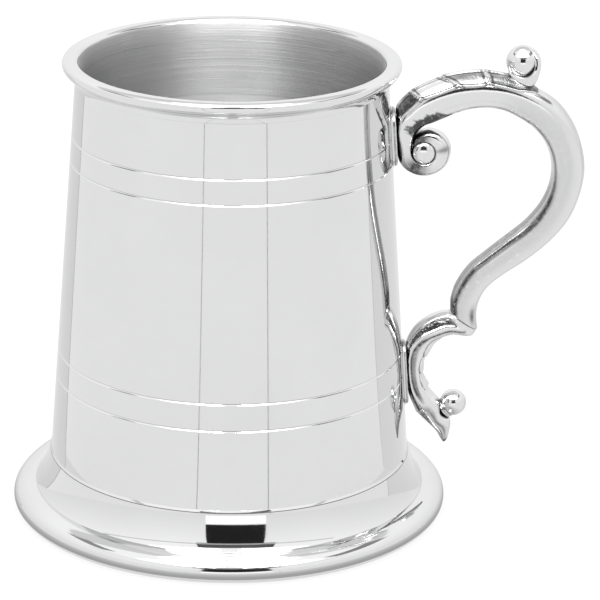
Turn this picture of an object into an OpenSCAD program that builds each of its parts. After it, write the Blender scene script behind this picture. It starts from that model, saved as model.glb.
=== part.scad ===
// Pint tankard in pewter: a tapered barrel on a spread foot, with a double scroll handle.
// Millimetres, +Z up. The origin is on the barrel's axis in the plane that the foot rests on,
// and the handle points along +X.

/* [Barrel] */
// Outer radius of the barrel at the foot joint
barrel_r = 46; // [40:0.5:52]
// Loss of radius for each millimetre of height
barrel_taper = 0.0702; // [0.05:0.005:0.09]
// Thickness of the barrel's sheet
wall = 1.3; // [1:0.1:2]
// Height of the joint between barrel and foot
joint_z = 15; // [14:0.5:16]
// Height of the joint between barrel and lip
lip_z = 112.7; // [110:0.1:116]
// Depth of the four engraved lines
line_depth = 0.22; // [0.1:0.02:0.4]

/* [Lip] */
// Outer radius of the lip roll
lip_r = 42.3; // [41.5:0.1:43]
// Height of the top of the lip above the table
lip_top = 118.4; // [117.6:0.1:119]

/* [Foot] */
// Outer radius of the rounded foot edge
foot_r = 55.8; // [55:0.1:57]
// Radius of the groove between skirt and foot edge
groove_r = 50.0; // [49.8:0.1:50.6]
// Height of that groove
groove_z = 6.4; // [6.2:0.1:6.8]
// Height of the drinking floor
floor_z = 13; // [12:0.5:14]

/* [Handle] */
// Radius of the ball inside the thumb scroll
thumb_eye_r = 4.1; // [3.9:0.1:4.2]
// Radius of the ball that ends the lower scroll
ball_r = 3.4; // [3:0.1:3.4]
// Thickness of the acanthus leaf at its middle
leaf_t = 0.9; // [0.6:0.1:1.2]

/* [Hidden] */

pewter = "silver";
pewter_dark = "darkgray";
solder = "gainsboro";

slope_deg = atan(barrel_taper);
line_zs = [36.05, 42.92, 92.69, 99.02];
line_half = 0.3;
barrel_bottom = 9.6;
floor_t = 1.6;
groove_wall = 0.9;
groove_drop = 1.1;
bead_in_r = 49.0;
bead_lap = 1.8;
solder_proud = 0.35;
solder_leg = 0.8;
solder_rise = 0.75;
sides = 24;
steps = 3;

// Outer radius of the barrel's cone at a height
function cone_r(z) = barrel_r - barrel_taper * (z - joint_z);

// Point of a cubic curve through four control points
function bez3(p, t) = pow(1 - t, 3) * p[0] + 3 * t * pow(1 - t, 2) * p[1]
    + 3 * t * t * (1 - t) * p[2] + pow(t, 3) * p[3];
function curve(p, n) = [for (i = [0:n]) bez3(p, i / n)];

// ---- Body profiles, each a list of [radius, height]

skirt_out = curve([[cone_r(joint_z) + solder_proud, joint_z], [46.9, 12.2], [48.1, 8.7],
                   [groove_r, groove_z]], 10);
skirt_in = curve([[groove_r - groove_wall, groove_z - groove_drop], [47.5, 7.0], [46.6, 8.6],
                  [cone_r(barrel_bottom + 1), barrel_bottom + 1]], 6);
lip_out = concat(curve([[39.3, lip_z + 0.1], [39.4, 113.8], [40.0, 114.8], [40.7, 115.2]], 5),
                 curve([[40.9, 115.3], [41.6, 115.5], [lip_r, 116.2], [lip_r, 117.1]], 5),
                 curve([[lip_r, 117.2], [lip_r, 118.0], [41.4, lip_top], [40.4, lip_top]], 6));
lip_in = curve([[40.2, lip_top], [39.3, lip_top], [38.5, 118.3], [38.1, 117.3]], 5);
bead_out = concat(curve([[groove_r, groove_z], [50.8, 7.0], [55.7, 6.1], [foot_r, 2.6]], 10),
                  curve([[foot_r, 2.5], [foot_r, 1.0], [54.9, 0], [53.6, 0]], 6));
bead_in = curve([[51.4, 0], [49.9, 0], [bead_in_r, 1.2], [bead_in_r, 2.6]], 4);

// ---- Handle castings. A row is [outer x, outer z, inner x, inner z, half depth,
// bluntness of the outer side, bluntness of the inner side], taken across the bar.

arm_rows = [
    [41.4, 96.3, 44.9, 95.9, 3.4, 0.35, 0.8],
    [41.2, 99.4, 46.0, 98.8, 3.7, 0.35, 0.8],
    [41.0, 103.2, 48.2, 101.4, 4.0, 0.4, 0.7],
    [43.0, 107.2, 50.8, 102.4, 4.1, 0.6, 0.6],
    [46.6, 110.2, 53.4, 103.6, 4.2, 0.6, 0.55],
    [51.8, 112.4, 56.6, 105.0, 4.2, 0.55, 0.5],
    [57.8, 113.8, 60.2, 106.0, 4.2, 0.55, 0.5],
    [64.0, 114.1, 64.0, 106.3, 4.2, 0.55, 0.5],
    [70.4, 113.2, 68.0, 105.6, 4.2, 0.55, 0.5],
    [76.4, 111.0, 72.0, 103.6, 4.2, 0.55, 0.5],
    [81.4, 107.8, 75.4, 101.2, 4.2, 0.6, 0.5],
    [85.4, 102.6, 78.2, 97.9, 4.2, 0.6, 0.5],
    [87.9, 96.6, 79.9, 94.1, 4.2, 0.6, 0.5],
    [88.9, 90.4, 80.5, 89.9, 4.2, 0.6, 0.5],
    [88.1, 84.0, 79.9, 85.2, 4.2, 0.6, 0.5],
    [85.6, 77.4, 77.9, 80.6, 4.1, 0.65, 0.5],
    [81.2, 71.5, 74.4, 76.2, 4.1, 0.65, 0.5],
    [75.4, 66.3, 69.7, 72.2, 4.0, 0.7, 0.5],
    [69.5, 62.1, 64.6, 67.9, 3.9, 0.75, 0.5],
    [65.6, 58.8, 60.4, 64.2, 3.8, 0.75, 0.5],
    [63.6, 55.4, 57.5, 59.6, 3.7, 0.75, 0.55],
    [62.9, 51.6, 56.3, 55.6, 3.6, 0.75, 0.6],
    [63.3, 47.4, 56.2, 52.2, 3.5, 0.9, 0.7]];

scroll_rows = [
    [56.0, 51.9, 63.1, 47.1, 3.5, 0.7, 0.9],
    [54.8, 51.9, 61.6, 45.4, 3.5, 0.9, 0.6],
    [52.4, 51.3, 57.4, 45.7, 3.5, 0.9, 0.6],
    [49.4, 49.6, 54.4, 44.9, 3.6, 0.9, 0.6],
    [46.9, 47.1, 52.1, 43.4, 3.6, 0.7, 0.6],
    [45.2, 43.4, 50.5, 41.0, 3.6, 0.45, 0.6],
    [45.3, 40.2, 49.5, 38.6, 3.6, 0.35, 0.6],
    [45.5, 36.8, 49.1, 36.4, 3.6, 0.35, 0.6],
    [45.8, 33.2, 49.6, 33.9, 3.6, 0.35, 0.6],
    [46.1, 29.4, 50.8, 31.4, 3.5, 0.5, 0.6],
    [48.1, 24.4, 52.4, 29.5, 3.4, 0.8, 0.6]];

tail_rows = [
    [48.1, 24.4, 52.4, 29.5, 3.4, 0.8, 0.6],
    [50.2, 22.3, 54.2, 27.4, 3.2, 0.8, 0.6],
    [52.0, 20.6, 54.9, 24.3, 2.8, 0.8, 0.7],
    [53.6, 18.8, 57.0, 22.3, 2.3, 0.8, 0.8],
    [54.7, 16.8, 56.9, 18.9, 1.4, 0.9, 0.9],
    [55.4, 15.9, 56.3, 16.6, 0.6, 1, 1]];

// Coils: [angle, outer radius, inner radius, half depth] about a centre
volute_at = [48.4, 94.6];
volute_turns = [
    [171, 7.1, 3.2, 3.5], [210, 6.8, 2.9, 3.5], [250, 6.3, 2.9, 3.5], [290, 6.3, 2.9, 3.4],
    [330, 6.6, 2.9, 3.4], [370, 6.8, 2.9, 3.3], [405, 6.6, 2.9, 3.2], [440, 5.9, 2.9, 3.0],
    [475, 4.8, 2.9, 2.7], [505, 3.8, 2.9, 2.3]];
thumb_at = [72.6, 117.8];
thumb_ball = [72.3, 118.05];
thumb_ball_half = 3.9;
volute_eye_r = 2.85;
volute_eye_side = 2.9;
eye_crown = 1.2;
volute_eye_half = volute_eye_side + eye_crown;
thumb_turns = [
    [-88, 6.4, 2.7, 3.1], [-70, 6.6, 2.5, 3.5], [-52, 5.6, 2.4, 3.7],
    [-34, 4.8, 2.35, 3.7], [-16, 4.45, 2.3, 3.6], [10, 4.35, 2.3, 3.2],
    [35, 4.3, 2.3, 2.6], [60, 4.2, 2.3, 1.9], [90, 4.05, 2.3, 1.3]];
function turn_rows(turns, at) = [for (t = turns)
    [at[0] + t[1] * cos(t[0]), at[1] + t[1] * sin(t[0]),
     at[0] + t[2] * cos(t[0]), at[1] + t[2] * sin(t[0]), t[3], 0.8, 0.8]];

// ---- Sweeping

// Smooth row between rows i and i+1
function row_at(r, i, t) = let (
    a = r[max(i - 1, 0)], b = r[i], c = r[i + 1], d = r[min(i + 2, len(r) - 1)])
    0.5 * (2 * b + (c - a) * t + (2 * a - 5 * b + 4 * c - d) * t * t
    + (3 * b - a - 3 * c + d) * t * t * t);
function smooth(r) = concat([for (i = [0:len(r) - 2]) for (k = [0:steps - 1]) row_at(r, i, k / steps)],
                            [r[len(r) - 1]]);
// Signed power that blunts a side of the section
function blunt(c, e_out, e_in) = sign(c) * pow(abs(c), c > 0 ? e_out : e_in);
// Point of a section at an angle from its outer side, moved out by t
function section(r, a, t = 0) = let (
    n = blunt(cos(a), r[5], r[6]),
    u = [(r[0] - r[2]) / 2, 0, (r[1] - r[3]) / 2],
    h = norm(u),
    dir = u / h * cos(a) + [0, sin(a), 0])
    [(r[0] + r[2]) / 2, 0, (r[1] + r[3]) / 2] + u * n + [0, r[4] * sin(a), 0] + dir * t;

// Solid swept through rows
module sweep(rows, n = sides) {
    pts = [for (r = rows) for (k = [0:n - 1]) section(r, 360 * k / n)];
    m = len(rows);
    walls = [for (i = [0:m - 2]) for (k = [0:n - 1]) let (
        a = i * n + k, b = i * n + (k + 1) % n) each [[a, b, b + n], [a, b + n, a + n]]];
    caps = [[for (k = [n - 1:-1:0]) k], [for (k = [0:n - 1]) (m - 1) * n + k]];
    polyhedron(points = pts, faces = concat(walls, caps), convexity = 6);
}

// Relief laid on part of a swept bar: rows, first and last side, and a list of thicknesses
module relief(rows, k0, k1, thick) {
    w = k1 - k0 + 1;
    m = len(rows);
    top = [for (i = [0:m - 1]) for (k = [k0:k1]) section(rows[i], 360 * k / sides, thick[i][k - k0])];
    low = [for (i = [0:m - 1]) for (k = [k0:k1]) section(rows[i], 360 * k / sides)];
    q = m * w;
    grid = [for (i = [0:m - 2]) for (k = [0:w - 2]) let (a = i * w + k) each
        [[a, a + 1, a + w + 1], [a, a + w + 1, a + w],
         [q + a, q + a + w + 1, q + a + 1], [q + a, q + a + w, q + a + w + 1]]];
    ends = [for (k = [0:w - 2]) let (b = (m - 1) * w + k) each
        [[k, q + k, q + k + 1], [k, q + k + 1, k + 1],
         [b, b + 1, q + b + 1], [b, q + b + 1, q + b]]];
    flanks = [for (i = [0:m - 2]) let (a = i * w, c = i * w + w - 1) each
        [[a, a + w, q + a + w], [a, q + a + w, q + a],
         [c, q + c, q + c + w], [c, q + c + w, c + w]]];
    polyhedron(points = concat(top, low), faces = concat(grid, ends, flanks), convexity = 6);
}

arm = smooth(arm_rows);
scroll = smooth(scroll_rows);

// Leaf thickness: raised rims along both sides, low panels between cross ribs
leaf_first = 7;
leaf_last = 27;
leaf_side = 5;
leaf_ribs = [0, 4, 9, 14, 20];
rib_reach = 1.2;
rib_rise = 0.3;
leaf_crown = 0.5;
leaf_thin_end = 0.45;
function rib(i) = max([for (r = leaf_ribs) max(0, 1 - abs(i - r) / rib_reach)]);
function leaf_thick(i, k) = i == 0 ? leaf_thin_end
    : leaf_t + leaf_crown * (1 - pow(abs(k) / leaf_side, 2)) + rib_rise * rib(i);
leaf = [for (i = [0:leaf_last - leaf_first]) [for (k = [-leaf_side:leaf_side]) leaf_thick(i, k)]];

// Husks on the hollow side of the lower scroll, each thickest at its lower end
husk_first = 9;
husk_last = 27;
husk_side = 4;
function husk_thick(i, k) = 0.35 + 0.55 * ((i % 6) / 5) * (1 - 0.5 * pow(abs(k) / husk_side, 2));
husks = [for (i = [0:husk_last - husk_first]) [for (k = [-husk_side:husk_side]) husk_thick(i, k)]];

// ---- Wall pads, set square to the barrel's slope

// Solid cone that the barrel's outer skin follows, to trim what is soldered to it
module barrel_skin() {
    cylinder(h = lip_z, r1 = cone_r(0), r2 = cone_r(lip_z), $fn = 250);
}
// Outline with round ends, on the wall at height z, widened by grow and standing out by reach
pad_root = 4;
module pad_prism(pad, grow, reach) {
    z = pad[0];
    half_w = pad[1] + grow;
    half_h = pad[2] + grow;
    translate([cone_r(z), 0, z])
    rotate([0, -slope_deg, 0])
    rotate([90, 0, 90])
    translate([0, 0, -pad_root])
    linear_extrude(height = pad_root + reach)
    union() {
        square([2 * half_w, 2 * (half_h - half_w)], center = true);
        for (s = [-1, 1]) translate([0, s * (half_h - half_w)]) circle(r = half_w, $fn = 120);
    }
}
// Wall pads: [height of the middle, half width, half height, thickness]
upper = [98.3, 4.6, 7.6, 1.1];
lower = [35.2, 3.9, 8.6, 0.9];
fillet_leg = 0.7;
clear_out = 3;

module barrel() {
    color(pewter)
    rotate_extrude($fn = 180)
    polygon(concat(
        [[cone_r(barrel_bottom) - wall, barrel_bottom], [cone_r(barrel_bottom), barrel_bottom]],
        [for (z = line_zs) each [[cone_r(z - line_half), z - line_half],
                                 [cone_r(z) - line_depth, z],
                                 [cone_r(z + line_half), z + line_half]]],
        [[cone_r(lip_z), lip_z], [cone_r(lip_z) - wall, lip_z]]));
}

module lip_ring() {
    color(pewter)
    rotate_extrude($fn = 180)
    polygon(concat([[cone_r(lip_z) - wall, lip_z + 0.1]], lip_out, lip_in));
}

module lip_solder() {
    color(solder)
    rotate_extrude($fn = 180)
    polygon([[cone_r(lip_z) - wall, lip_z], [cone_r(lip_z), lip_z],
             [cone_r(lip_z) - 0.02, lip_z + 0.1], [cone_r(lip_z) - wall, lip_z + 0.1]]);
}

module floor_disc() {
    color(pewter)
    translate([0, 0, floor_z - floor_t])
    cylinder(h = floor_t, r1 = cone_r(floor_z - floor_t) - wall, r2 = cone_r(floor_z) - wall, $fn = 180);
}

module floor_solder() {
    low = floor_z - floor_t;
    color(solder)
    rotate_extrude($fn = 180)
    polygon([[cone_r(low) - wall, low], [cone_r(low) - wall - solder_leg, low],
             [cone_r(low - solder_leg) - wall, low - solder_leg]]);
}

module foot_skirt() {
    color(pewter)
    rotate_extrude($fn = 180)
    polygon(concat(skirt_out, skirt_in, [[cone_r(joint_z), joint_z]]));
}

module foot_solder() {
    color(solder)
    rotate_extrude($fn = 180)
    polygon([[cone_r(joint_z), joint_z], [cone_r(joint_z) + solder_proud, joint_z],
             [cone_r(joint_z) + solder_proud, joint_z + solder_rise / 4],
             [cone_r(joint_z + solder_rise), joint_z + solder_rise]]);
}

module foot_bead() {
    color(pewter)
    rotate_extrude($fn = 180)
    polygon(concat(bead_out, bead_in, [[bead_in_r, groove_z - bead_lap],
                                       [groove_r - groove_wall, groove_z - groove_drop]]));
}

module bead_solder() {
    color(solder)
    rotate_extrude($fn = 180)
    polygon([[bead_in_r, groove_z - bead_lap], [groove_r - groove_wall, groove_z - groove_drop],
             [groove_r - groove_wall - solder_leg, groove_z - groove_drop + 0.25]]);
}

module upper_pad() {
    color(pewter_dark)
    difference() {
        pad_prism(upper, 0, upper[3]);
        barrel_skin();
    }
}

module upper_pad_solder() {
    color(solder)
    difference() {
        pad_prism(upper, fillet_leg, solder_proud);
        pad_prism(upper, 0, clear_out);
        barrel_skin();
    }
}

module handle_arm() {
    color(pewter)
    sweep(arm);
}

module root_volute() {
    color(pewter)
    sweep(smooth(turn_rows(volute_turns, volute_at)), 16);
}

module volute_eye() {
    color(pewter)
    translate([volute_at[0], 0, volute_at[1]])
    rotate([90, 0, 0])
    rotate_extrude($fn = 48)
    polygon(concat([[0, -volute_eye_half]],
                   [for (a = [10:20:90]) [volute_eye_r * sin(a), -volute_eye_side - eye_crown * cos(a)]],
                   [for (a = [90:-20:10]) [volute_eye_r * sin(a), volute_eye_side + eye_crown * cos(a)]],
                   [[0, volute_eye_half]]));
}

module acanthus_leaf() {
    color(pewter_dark)
    relief([for (i = [leaf_first:leaf_last]) arm[i]], -leaf_side, leaf_side, leaf);
}

module thumb_scroll() {
    color(pewter)
    difference() {
        sweep(smooth(turn_rows(thumb_turns, thumb_at)), 24);
        thumb_ball_shape();
    }
}

module thumb_ball_shape() {
    translate([thumb_ball[0], 0, thumb_ball[1]])
    scale([1, thumb_ball_half / thumb_eye_r, 1])
    sphere(r = thumb_eye_r, $fn = 48);
}

module thumb_eye() {
    color(pewter)
    thumb_ball_shape();
}

module scroll_solder() {
    color(solder)
    sweep([arm_rows[len(arm_rows) - 1],
           [63.1, 47.1, 56.0, 51.9, 3.5, 0.9, 0.7]]);
}

module lower_scroll() {
    color(pewter)
    sweep(scroll);
}

module husk_strip() {
    color(pewter_dark)
    relief([for (i = [husk_first:husk_last]) scroll[i]], 12 - husk_side, 12 + husk_side, husks);
}

ball_at = [57.7, 0, 26.8];
module scroll_ball() {
    color(pewter)
    translate(ball_at)
    sphere(r = ball_r, $fn = 48);
}

module tail_drop() {
    color(pewter)
    sweep(smooth(tail_rows), 16);
}

module lower_pad() {
    color(pewter_dark)
    difference() {
        pad_prism(lower, 0, lower[3]);
        barrel_skin();
    }
}

module lower_pad_solder() {
    color(solder)
    difference() {
        pad_prism(lower, fillet_leg, solder_proud);
        pad_prism(lower, 0, clear_out);
        barrel_skin();
    }
}

barrel();
lip_ring();
lip_solder();
floor_disc();
floor_solder();
foot_skirt();
foot_solder();
foot_bead();
bead_solder();
upper_pad();
upper_pad_solder();
handle_arm();
root_volute();
volute_eye();
acanthus_leaf();
thumb_scroll();
thumb_eye();
scroll_solder();
lower_scroll();
husk_strip();
scroll_ball();
tail_drop();
lower_pad();
lower_pad_solder();
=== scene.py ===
# Pewter pint tankard: the visual model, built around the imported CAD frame.
# Working units are millimetres, turned into metres as each mesh is made. +Z is up and the
# handle points along +X. Every piece stands for the CAD node of the same name.
import math

import bmesh
import bpy
import numpy as np
from mathutils import Matrix, Vector


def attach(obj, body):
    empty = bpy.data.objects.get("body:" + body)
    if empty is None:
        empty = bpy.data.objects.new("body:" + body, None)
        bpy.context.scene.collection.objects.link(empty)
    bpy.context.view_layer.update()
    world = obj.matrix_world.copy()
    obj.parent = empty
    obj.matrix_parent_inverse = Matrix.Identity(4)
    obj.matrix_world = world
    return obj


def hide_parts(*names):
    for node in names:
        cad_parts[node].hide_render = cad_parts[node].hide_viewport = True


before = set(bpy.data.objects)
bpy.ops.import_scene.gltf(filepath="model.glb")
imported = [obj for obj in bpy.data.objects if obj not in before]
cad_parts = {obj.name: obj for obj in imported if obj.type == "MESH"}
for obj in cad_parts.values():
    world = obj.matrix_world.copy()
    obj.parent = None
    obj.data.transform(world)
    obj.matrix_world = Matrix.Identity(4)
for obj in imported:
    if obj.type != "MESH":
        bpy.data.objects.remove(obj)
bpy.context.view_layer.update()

MM = 0.001
rng = np.random.default_rng(7)

# ---------------------------------------------------------------- camera
# Fitted to the tankard's own rims and lines: a long lens, about 23 degrees above the foot.
LENS = 193.21
CAM_AT = Vector((0.0, -774.318, 330.664)) * MM
CAM_FWD = Vector((0.0215446, 0.9416714, -0.3358435)).normalized()
CAM_YAW = 0.0229
CAM_ROLL = 0.0149


def make_camera():
    data = bpy.data.cameras.new("camera")
    data.lens = LENS
    data.sensor_width = 36.0
    data.clip_start = 0.01
    cam = bpy.data.objects.new("camera", data)
    bpy.context.scene.collection.objects.link(cam)
    right0 = Vector((math.cos(CAM_YAW), -math.sin(CAM_YAW), 0.0))
    up0 = right0.cross(CAM_FWD)
    right = math.cos(CAM_ROLL) * right0 + math.sin(CAM_ROLL) * up0
    up = -math.sin(CAM_ROLL) * right0 + math.cos(CAM_ROLL) * up0
    turn = Matrix((right, up, -CAM_FWD)).transposed()
    cam.matrix_world = Matrix.Translation(CAM_AT) @ turn.to_4x4()
    bpy.context.scene.camera = cam


# ---------------------------------------------------------------- shader helpers

def new_material(name):
    mat = bpy.data.materials.new(name)
    mat.use_nodes = True
    tree = mat.node_tree
    tree.nodes.clear()
    out = tree.nodes.new("ShaderNodeOutputMaterial")
    return mat, tree, out


def node(tree, kind, **values):
    made = tree.nodes.new(kind)
    for key, value in values.items():
        if hasattr(made, key):
            setattr(made, key, value)
        else:
            made.inputs[key.replace("_", " ")].default_value = value
    return made


def noise(tree, coords, scale, size, detail=3.0, rough=0.55):
    """Noise over object coordinates in metres, stretched by scale."""
    mapping = node(tree, "ShaderNodeMapping")
    mapping.inputs["Scale"].default_value = scale
    tree.links.new(coords, mapping.inputs["Vector"])
    made = node(tree, "ShaderNodeTexNoise", Scale=size, Detail=detail, Roughness=rough)
    tree.links.new(mapping.outputs["Vector"], made.inputs["Vector"])
    return made.outputs["Fac"]


def remap(tree, value, a, b, c, d, smooth=False):
    made = node(tree, "ShaderNodeMapRange")
    if smooth:
        made.interpolation_type = "SMOOTHSTEP"
    for key, number in zip(("From Min", "From Max", "To Min", "To Max"), (a, b, c, d)):
        made.inputs[key].default_value = number
    tree.links.new(value, made.inputs["Value"])
    return made.outputs["Result"]


def math_node(tree, op, a, b):
    made = node(tree, "ShaderNodeMath", operation=op)
    for socket, value in zip(made.inputs, (a, b)):
        if isinstance(value, (int, float)):
            socket.default_value = value
        else:
            tree.links.new(value, socket)
    return made.outputs["Value"]


def bump(tree, height, strength, distance, normal=None):
    made = node(tree, "ShaderNodeBump", Strength=strength, Distance=distance)
    tree.links.new(height, made.inputs["Height"])
    if normal is not None:
        tree.links.new(normal, made.inputs["Normal"])
    return made.outputs["Normal"]


def mix_colour(tree, fac, a, b):
    made = node(tree, "ShaderNodeMix", data_type="RGBA")
    tree.links.new(fac, made.inputs["Factor"])
    for socket, value in ((made.inputs[6], a), (made.inputs[7], b)):
        if isinstance(value, tuple):
            socket.default_value = (*value, 1.0)
        else:
            tree.links.new(value, socket)
    return made.outputs[2]


def pewter(name, colour, dark, rough, spread, lines=None, grain=None, wave=0.0,
           patina=0.0, anisotropy=0.0, reach=0.0011):
    """Procedural pewter. lines: (stretch, size, height) of turning or polishing marks;
    grain: (size, height) of cast texture; wave: hand-worked ripple height in metres;
    patina: how far hollows darken."""
    mat, tree, out = new_material(name)
    shader = node(tree, "ShaderNodeBsdfPrincipled")
    shader.inputs["Metallic"].default_value = 1.0
    tree.links.new(shader.outputs["BSDF"], out.inputs["Surface"])
    coords = node(tree, "ShaderNodeTexCoord").outputs["Object"]
    even = (1.0, 1.0, 1.0)

    smudge = noise(tree, coords, even, 38.0, 4.0, 0.6)
    fine = noise(tree, coords, even, 420.0, 3.0)
    level = remap(tree, smudge, 0.32, 0.70, rough - spread, rough + spread)
    level = math_node(tree, "ADD", level, remap(tree, fine, 0.35, 0.65, -0.3 * spread, 0.3 * spread))
    normal = None
    if wave:
        slow = noise(tree, coords, even, 55.0, 1.0)
        normal = bump(tree, slow, 1.0, wave, normal)
    marks = None
    if lines:
        stretch, size, height = lines
        marks = noise(tree, coords, stretch, size, 5.0, 0.7)
        normal = bump(tree, marks, 1.0, height, normal)
        level = math_node(tree, "ADD", level, remap(tree, marks, 0.3, 0.7, -0.6 * spread, 0.6 * spread))
    if grain:
        size, height = grain
        sand = noise(tree, coords, even, size, 4.0, 0.65)
        normal = bump(tree, sand, 1.0, height, normal)
    tone = mix_colour(tree, remap(tree, smudge, 0.3, 0.72, 0.0, 1.0), colour,
                      tuple(0.955 * c for c in colour))
    if marks is not None:
        tone = mix_colour(tree, remap(tree, marks, 0.36, 0.66, 0.12, 0.0), tone, dark)
    if patina:
        hollow = node(tree, "ShaderNodeAmbientOcclusion", samples=6)
        hollow.inputs["Distance"].default_value = reach
        depth = remap(tree, hollow.outputs["AO"], 0.25, 0.74, patina, 0.0, True)
        # Per-vertex darkening from an attribute: partly dark polish, partly painted shade, and a painted
        # highlight where it is below zero
        aged_and_painted_light = node(tree, "ShaderNodeAttribute", attribute_name="tarnish_and_painted_light")
        cloud = noise(tree, coords, even, 700.0, 4.0, 0.7)
        aged_and_painted_light = math_node(tree, "MULTIPLY", aged_and_painted_light.outputs["Fac"], remap(tree, cloud, 0.3, 0.52, 0.6, 1.0))
        depth = math_node(tree, "MAXIMUM", depth, aged_and_painted_light)
        # Painted highlight: below zero the attribute turns the colour near-white
        tone = mix_colour(tree, remap(tree, aged_and_painted_light, -0.15, 0.0, 1.0, 0.0), tone, (0.97, 0.97, 0.97))
        tone = mix_colour(tree, depth, tone, dark)
        edge = node(tree, "ShaderNodeNewGeometry").outputs["Pointiness"]
        worn = remap(tree, edge, 0.56, 0.66, 0.0, 0.5, True)
        bright = tuple(min(1.0, 1.10 * c) for c in colour)
        tone = mix_colour(tree, worn, tone, bright)
        level = math_node(tree, "ADD", level, math_node(tree, "MULTIPLY", depth, 0.16))
    level = math_node(tree, "MAXIMUM", level, 0.02)
    tree.links.new(tone, shader.inputs["Base Color"])
    tree.links.new(level, shader.inputs["Roughness"])
    if normal is not None:
        tree.links.new(normal, shader.inputs["Normal"])
    if anisotropy:
        shader.inputs["Anisotropic"].default_value = anisotropy
        shader.inputs["Anisotropic Rotation"].default_value = 0.25
        around = node(tree, "ShaderNodeTangent", direction_type="RADIAL", axis="Z")
        tree.links.new(around.outputs["Tangent"], shader.inputs["Tangent"])
    return mat


def glow(name, level):
    mat, tree, out = new_material(name)
    emit = node(tree, "ShaderNodeEmission")
    emit.inputs["Color"].default_value = (1.0, 1.0, 1.0, 1.0)
    emit.inputs["Strength"].default_value = level
    tree.links.new(emit.outputs["Emission"], out.inputs["Surface"])
    return mat


SILVER = (0.714, 0.715, 0.717)
# Dark colour for patina in hollows and for the painted shade carried by the per-vertex attribute
TARNISH_AND_SHADE = (0.04, 0.04, 0.043)
POLISHED = pewter("pewter_polished", SILVER, (0.66, 0.662, 0.666), 0.045, 0.02,
                  lines=((9.0, 9.0, 900.0), 1.0, 0.0000001), wave=0.000008)
BEAD = pewter("pewter_spun", SILVER, (0.6, 0.602, 0.606), 0.075, 0.025,
              lines=((9.0, 9.0, 900.0), 1.0, 0.0000006), wave=0.00002)
SATIN = pewter("pewter_satin", (0.66, 0.661, 0.663), (0.02, 0.02, 0.02), 0.38, 0.05,
               lines=((7.0, 7.0, 1900.0), 1.0, 0.00014), wave=0.00002, anisotropy=1.0)
CAST = pewter("pewter_cast", (0.705, 0.706, 0.708), TARNISH_AND_SHADE, 0.13, 0.04,
              grain=(900.0, 0.000010), wave=0.00012, patina=0.85)
RELIEF = pewter("pewter_relief", (0.72, 0.721, 0.723), TARNISH_AND_SHADE, 0.16, 0.05,
                grain=(1500.0, 0.00005), wave=0.00008, patina=0.9, reach=0.0014)
SOLDER = pewter("solder", (0.62, 0.62, 0.625), TARNISH_AND_SHADE, 0.2, 0.06,
                grain=(1200.0, 0.00003), wave=0.0001, patina=0.7)

SEAM = pewter("seam", (0.16, 0.16, 0.163), TARNISH_AND_SHADE, 0.3, 0.05)

# ---------------------------------------------------------------- meshes


SHARP_DEG = 38.0


def piece(name, verts, faces, mats, face_mats=None, tarnish_and_painted_light=None):
    """A finished piece: verts in millimetres. It rides on the one body and stands for its node.
    The last argument gives a value for each vertex: 0..1 is how much darker it is, partly painted shade, and
    below 0 a painted highlight."""
    mesh = bpy.data.meshes.new(name)
    mesh.from_pydata([tuple(v) for v in np.asarray(verts, float) * MM], [], faces)
    for mat in mats if isinstance(mats, (list, tuple)) else [mats]:
        mesh.materials.append(mat)
    if face_mats is not None:
        mesh.polygons.foreach_set("material_index", np.asarray(face_mats, np.int32))
    if tarnish_and_painted_light is not None:
        aged_and_painted_light = mesh.attributes.new("tarnish_and_painted_light", "FLOAT", "POINT")
        aged_and_painted_light.data.foreach_set("value", np.asarray(tarnish_and_painted_light, np.float32))
    bm = bmesh.new()
    bm.from_mesh(mesh)
    bmesh.ops.recalc_face_normals(bm, faces=bm.faces)
    bm.to_mesh(mesh)
    bm.free()
    mesh.shade_smooth()
    mesh.set_sharp_from_angle(angle=math.radians(SHARP_DEG))
    obj = bpy.data.objects.new(name, mesh)
    bpy.context.scene.collection.objects.link(obj)
    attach(obj, "root")
    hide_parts(name.replace("look_", ""))
    return obj


def bez(p, n):
    t = np.linspace(0.0, 1.0, n + 1)[:, None]
    p = np.asarray(p, float)
    return (1 - t) ** 3 * p[0] + 3 * t * (1 - t) ** 2 * p[1] + 3 * t * t * (1 - t) * p[2] + t ** 3 * p[3]


HOLD_GAP = 0.04
HOLD_BEND = 22.0


def hold(profile, closed=True):
    """The profile with two extra points close to each corner, so that smooth shading stays crisp."""
    p = np.asarray(profile, float)
    keep = [i for i in range(len(p)) if np.linalg.norm(p[i] - p[i - 1]) > 1e-6 or not i]
    p = p[keep]
    out = []
    for i, q in enumerate(p):
        if not closed and i in (0, len(p) - 1):
            out.append(q)
            continue
        a, b = q - p[i - 1], p[(i + 1) % len(p)] - q
        la, lb = np.linalg.norm(a), np.linalg.norm(b)
        bend = math.degrees(math.acos(np.clip(a @ b / (la * lb), -1, 1)))
        if bend < HOLD_BEND:
            out.append(q)
            continue
        if la > 3 * HOLD_GAP:
            out.append(q - a / la * HOLD_GAP)
        out.append(q)
        if lb > 3 * HOLD_GAP:
            out.append(q + b / lb * HOLD_GAP)
    return np.array(out)


def bell(x, width):
    return np.exp(-(x / width) ** 2)


def step_up(x, a, b):
    t = np.clip((x - a) / (b - a), 0.0, 1.0)
    return t * t * (3 - 2 * t)


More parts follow.
